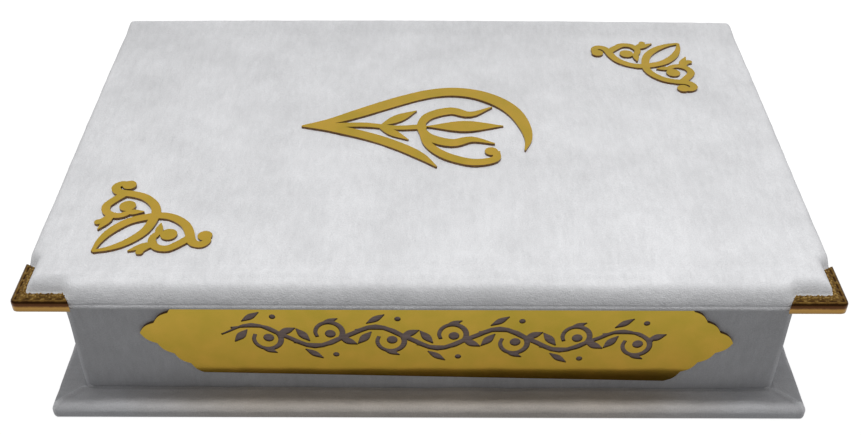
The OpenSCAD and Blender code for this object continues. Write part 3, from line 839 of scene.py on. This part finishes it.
# The wall's velvet starts a little below the flange's surface, which leaves no gap
WALL_FOOT = 3.0
VELVET_T = 0.8
WALL_BOARD_T = 3.0
outside = [(0.0, z) for z in np.linspace(WALL_FOOT, WALL_TOP - 0.6, 34)]
round_over = [
    (-0.4 + 0.4 * math.cos(a), WALL_TOP - 0.5 + 0.4 * math.sin(a)) for a in np.radians([20, 50, 80])]
profile = outside + round_over + [(-VELVET_T + 0.02, z) for z in (WALL_TOP - 0.1, 30.0, WALL_FOOT)]
wall_soft = skin(
    "wall_velvet_cover", swept(wall_path(WALL_X, WALL_FRONT, wall_high[1], 1.6, 2.2), profile), [VELVET_WALL])


def wall_share(co):
    """Slack of the wall's velvet: none at its edges, behind the plate or on its inner side."""
    behind = (
        (co[:, 1] < WALL_FRONT + 0.3) & (co[:, 0] > plate_low[0] - 2) & (co[:, 0] < plate_high[0] + 2)
        & (co[:, 2] > plate_low[2] - 1) & (co[:, 2] < plate_high[2] + 1))
    outer = (np.abs(co[:, 0]) > WALL_X - 0.3) | (co[:, 1] < WALL_FRONT + 0.3)
    return outer * ease((WALL_TOP - co[:, 2] - 0.8) / 3) * np.where(behind, 0.0, 1.0)


roughen(wall_soft, 0.22, 22, 21, wall_share)
settle(wall_soft, "case", "velvet", "wall_velvet")


# --- Satin inside the walls ------------------------------------------------------

INNER_X = box_mm("front_wall")[1][0] - WALL_BOARD_T
INNER_FRONT = box_mm("front_wall")[1][1]
INNER_BACK = box_mm("back_wall")[0][1]
LINING_Z = box_mm("wall_lining")[0][2]


def tray_loop(step):
    """Points and outward corner directions round the inside of the tray, anticlockwise."""
    loop = [((px, INNER_FRONT), (0, -1)) for px in along(-INNER_X, INNER_X, step)]
    loop += [((INNER_X, py), (1, 0)) for py in along(INNER_FRONT, INNER_BACK, step)]
    loop += [((px, INNER_BACK), (0, 1)) for px in along(INNER_X, -INNER_X, step)]
    loop += [((-INNER_X, py), (-1, 0)) for py in along(INNER_BACK, INNER_FRONT, step)]
    corners = {(-INNER_X, INNER_FRONT): (-1, -1), (INNER_X, INNER_FRONT): (1, -1),
               (INNER_X, INNER_BACK): (1, 1), (-INNER_X, INNER_BACK): (-1, 1)}
    return [(spot, corners.get(spot, out)) for spot, out in loop]


turned = [
    (WALL_BOARD_T, WALL_TOP - 0.6), (WALL_BOARD_T, WALL_TOP - 0.25), (2.75, WALL_TOP - 0.02), (1.5, WALL_TOP)]
face = [(-0.6, z) for z in np.linspace(WALL_TOP - 0.9, LINING_Z, 22)]
profile = turned + [(0.2, WALL_TOP), (-0.35, WALL_TOP - 0.2)] + face + [
    (-0.02, LINING_Z), (-0.02, WALL_TOP - 0.6)]
lining_soft = skin("wall_satin_lining", swept(tray_loop(3.0), profile), [SATIN], closed=True)


def lining_share(co):
    """Slack of the lining: only on the face inside the tray."""
    between = (co[:, 1] > INNER_FRONT + 0.2) & (co[:, 1] < INNER_BACK - 0.2)
    return ((np.abs(co[:, 0]) < INNER_X - 0.2) & between) * 1.0


roughen(lining_soft, 0.30, 15, 31, lining_share)
settle(lining_soft, "case", "satin", "wall_lining")


# --- Spine velvet, which swells over the hinge line --------------------------------

spine_high = box_mm("spine_velvet")[1]
# A point on the lid's hinge line
HINGE = np.array([0.0, spine_high[1] - 0.35, LID_Z - 0.15])
SPINE_Y = HINGE[1] - 0.25
# Heights along the strip on each side of the hinge line, closer together round it
heights = HINGE[2] + np.concatenate([
    np.linspace(0.9 - HINGE[2], -5.2, 30), np.linspace(-4.2, -1.2, 9), np.linspace(-1.0, 1.2, 12),
    np.linspace(1.5, 3.1, 6)])


def spine_face(z):
    """The strip's outer face: flat, swelling over the hinge roll and thinning onto the lid's edge."""
    swell = 0.38 * hump(z - HINGE[2], 1.5)
    lid_side = 0.12 * ease((z - HINGE[2] - 1.3) / 1.6)
    return SPINE_Y + swell - lid_side


def spine_back(z):
    """The strip's inner face."""
    thick = 0.55 - 0.25 * hump(z - HINGE[2], 1.2) - 0.2 * ease((z - HINGE[2] - 1.6) / 1.4)
    return spine_face(z) - max(0.12, thick)


outline = [(SPINE_Y - 0.9, 0.12), (SPINE_Y - 0.35, 0.25), (SPINE_Y - 0.08, 0.55)]
outline += [(spine_face(z), z) for z in heights]
outline += [(spine_back(z), z) for z in heights[::-1]]
outline += [(SPINE_Y - 0.9, 0.9)]
spine_x = spine_high[0]
spine_rows = [[(px, py, pz) for py, pz in outline] for px in np.linspace(-spine_x, spine_x, 120)]
spine_soft = skin("spine_velvet_cover", spine_rows, [VELVET_WALL])
roughen(
    spine_soft, 0.10, 16, 41,
    lambda co: ease((HINGE[2] - 4 - co[:, 2]) / 3) * (co[:, 1] > SPINE_Y - 0.25))
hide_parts("spine_velvet")
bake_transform(spine_soft)


# --- Book ------------------------------------------------------------------------


# The two gilt lines on a cover: distance from its edge and half width
BROAD_LINE = (8.6, 0.55)
FINE_LINE = (10.6, 0.3)


def cover_board(name, node, body, outward):
    """A cloth-covered board with rounded edges and a gilt line sunk round its outer face."""
    low, high = box_mm(node)
    half_x = (high[0] - low[0]) / 2
    half_y = (high[1] - low[1]) / 2
    centre = (high[1] + low[1]) / 2
    outer = high[2] if outward > 0 else low[2]
    inner = low[2] if outward > 0 else high[2]

    def top(x, y):
        near = np.minimum(half_x - np.abs(x), half_y - np.abs(y))
        spots = np.column_stack([x, y, np.zeros_like(x)])
        edge = 0.5 * (1 - rounded_rise(near, 0.9))
        line = hump(near - BROAD_LINE[0], BROAD_LINE[1]) + 0.8 * hump(near - FINE_LINE[0], FINE_LINE[1])
        return outer - outward * (edge + 0.22 * line + 0.04 * (1 + wander(spots, 30, 51)))

    rim = [
        (0.0, outer - outward * 0.9), (0.0, inner + outward * 0.7), (0.2, inner + outward * 0.25),
        (0.8, inner)]
    piece = wrapped_slab(name, half_x, half_y, centre, (14, 0.45, 5), top, rim, 1.2, [CLOTH, GILT])
    slots = []
    for polygon in piece.data.polygons:
        c = np.array(polygon.center) / MM
        near = min(half_x - abs(c[0]), half_y - abs(c[1] - centre))
        on_line = any(abs(near - inset) < half_width for inset, half_width in (BROAD_LINE, FINE_LINE))
        on_face = outward * polygon.normal[2] > 0.5 and abs(c[2] - outer) < 0.6
        slots.append(1 if on_line and on_face else 0)
    piece.data.polygons.foreach_set("material_index", slots)
    settle(piece, body, "book_cloth", node)


cover_board("book_back_cover_cloth", "book_back_cover", "book", -1)
cover_board("book_front_cover_cloth", "book_front_cover", "book_cover", 1)


LAYER_T = 0.28
LOOP_STEP = 6
# Thickness of a section of leaves where it is glued at the spine, as a share of its full thickness
GLUED_SHARE = 0.36


def leaves(name, node, body, body_slot, wave, gutter=None):
    """A block of leaves whose fore edge and ends are uneven, leaf by leaf; gutter is where it thins."""
    low, high = box_mm(node)
    centre_y = (high[1] + low[1]) / 2
    half_x = (high[0] - low[0]) / 2
    half_y = (high[1] - low[1]) / 2
    layers = max(4, int(round((high[2] - low[2]) / LAYER_T)))
    levels = np.linspace(low[2], high[2], layers)
    rng = np.random.default_rng(len(name))
    shifts = rng.uniform(0, wave, layers)
    middle = (low[2] + high[2]) / 2
    loop = [(px, -half_y) for px in along(-half_x, half_x, LOOP_STEP)]
    loop += [(half_x, py) for py in along(-half_y, half_y, LOOP_STEP)]
    loop += [(px, half_y) for px in along(half_x, -half_x, LOOP_STEP)]
    loop += [(-half_x, py) for py in along(half_y, -half_y, LOOP_STEP)]
    rows = []
    for z, shift in zip(levels, shifts):
        grow_x = (half_x - shift) / half_x
        row = []
        for px, py in loop:
            inset_y = 0 if py > half_y - 0.01 else shift
            y = py * (half_y - inset_y) / half_y
            level = z
            if gutter and y > half_y - gutter:
                share = min(1.0, (y - half_y + gutter) / 1.5)
                level = middle + (z - middle) * (1 - share + share * GLUED_SHARE)
            row.append((px * grow_x, y + centre_y, level))
        rows.append(row)
    paper = page(name + "_face", centre_y, half_x, half_y)
    piece = skin(name, rows, [PAPER_EDGES, paper])
    flat = [1 if abs(p.normal[2]) > 0.9 else 0 for p in piece.data.polygons]
    piece.data.polygons.foreach_set("material_index", flat)
    piece.data.polygons.foreach_set("use_smooth", [False] * len(flat))
    settle(piece, body, body_slot, node)


leaves("text_block_leaves", "text_block", "book", "page_edges", 0.25)
for level in ("lower", "middle", "upper"):
    leaves(f"leaf_section_{level}_paper", f"leaf_section_{level}", f"leaves_{level}", "leaves", 0.25, 6.5)


def dress(node, material):
    """Gives a carried-over CAD node its material."""
    mesh = CAD[node].data
    mesh.materials.clear()
    mesh.materials.append(material)


for node in ("base_board", "tray_floor", "front_wall", "left_wall", "right_wall", "back_wall", "lid_board"):
    dress(node, BOARD)
# The spine's velvet is turned round the ends of its board, where they stand out past the side walls
dress("spine_board", VELVET_WALL)
for node in ("front_endpaper", "back_endpaper"):
    dress(node, ENDPAPER)
for node in ("headband_left", "headband_right"):
    dress(node, SILK)
dress("spine_mull", MULL)
dress("book_spine", CLOTH)


# --- Camera, floor and light ---------------------------------------------------------

FOCAL_PX = 1073.69
FRAME_PX = 861
EYE = Vector((-0.650, -355.894, 304.088)) * MM
pitch = 0.673681
yaw = 0.0028133
roll = 0.0048
forward = Vector((math.sin(yaw) * math.cos(pitch), math.cos(yaw) * math.cos(pitch), -math.sin(pitch)))
level_right = Vector((math.cos(yaw), -math.sin(yaw), 0))
level_up = level_right.cross(forward)
right = math.cos(roll) * level_right + math.sin(roll) * level_up
up = math.cos(roll) * level_up - math.sin(roll) * level_right
camera = bpy.data.objects.new("camera", bpy.data.cameras.new("camera"))
bpy.context.scene.collection.objects.link(camera)
camera.matrix_world = Matrix((
    (right.x, up.x, -forward.x, EYE.x), (right.y, up.y, -forward.y, EYE.y),
    (right.z, up.z, -forward.z, EYE.z), (0, 0, 0, 1)))
camera.data.sensor_fit = "HORIZONTAL"
camera.data.sensor_width = 36
camera.data.lens = 36 * FOCAL_PX / FRAME_PX
camera.data.clip_start = 0.01
bpy.context.scene.camera = camera
bpy.context.scene.view_settings.view_transform = "Standard"

paper_floor = Surface("floor_paper", Roughness=0.9, Emission_Strength=0.94)
paper_floor.shader.inputs["Emission Color"].default_value = (1, 1, 1, 1)
grain = paper_floor.noise(60, 3)
paper_floor.colour(paper_floor.ramp(grain, (0.3, (0.09, 0.09, 0.09)), (0.7, (0.11, 0.11, 0.11))))
FLOOR_SIDES = 96
FLOOR_RADIUS = 8000
ring = np.linspace(0, 2 * math.pi, FLOOR_SIDES + 1)[:-1]
floor_points = [(FLOOR_RADIUS * math.cos(a), FLOOR_RADIUS * math.sin(a), -0.05) for a in ring]
floor = make_piece(
    "studio_floor", floor_points, [tuple(range(FLOOR_SIDES))], [paper_floor.material], smooth=False)
floor.visible_diffuse = False

light = bpy.data.lights.new("overhead_sun", "SUN")
light.energy = 2.25
light.angle = math.radians(9.5)
sun = bpy.data.objects.new("overhead_sun", light)
sun.location = (0.0, -0.008, 1.0)
sun.rotation_euler = (Vector((0, 0, 0.03)) - sun.location).to_track_quat("-Z", "Y").to_euler()
sun.visible_glossy = False
bpy.context.scene.collection.objects.link(sun)

# Sky tones by direction: 0 is down and forwards, 0.5 is level to either side, 1 is up and a little back
SKY = ((0.40, 0.285), (0.50, 0.15), (0.70, 0.18), (0.83, 0.56))
world = bpy.data.worlds.new("studio")
bpy.context.scene.world = world
world.use_nodes = True
sky = world.node_tree
direction = sky.nodes.new("ShaderNodeTexCoord")
facing = sky.nodes.new("ShaderNodeVectorMath")
facing.operation = "DOT_PRODUCT"
facing.inputs[1].default_value = (0, 0.6, 0.8)
share = sky.nodes.new("ShaderNodeMapRange")
share.inputs["From Min"].default_value = -1
tone = sky.nodes.new("ShaderNodeValToRGB")
sky.links.new(direction.outputs["Generated"], facing.inputs[0])
sky.links.new(facing.outputs["Value"], share.inputs["Value"])
sky.links.new(share.outputs[0], tone.inputs[0])
sky.links.new(tone.outputs[0], sky.nodes["Background"].inputs["Color"])
while len(tone.color_ramp.elements) < len(SKY):
    tone.color_ramp.elements.new(0.5)
for element, (position, grey) in zip(tone.color_ramp.elements, SKY):
    element.position = position
    element.color = (grey, grey * 1.01, grey * 1.03, 1)
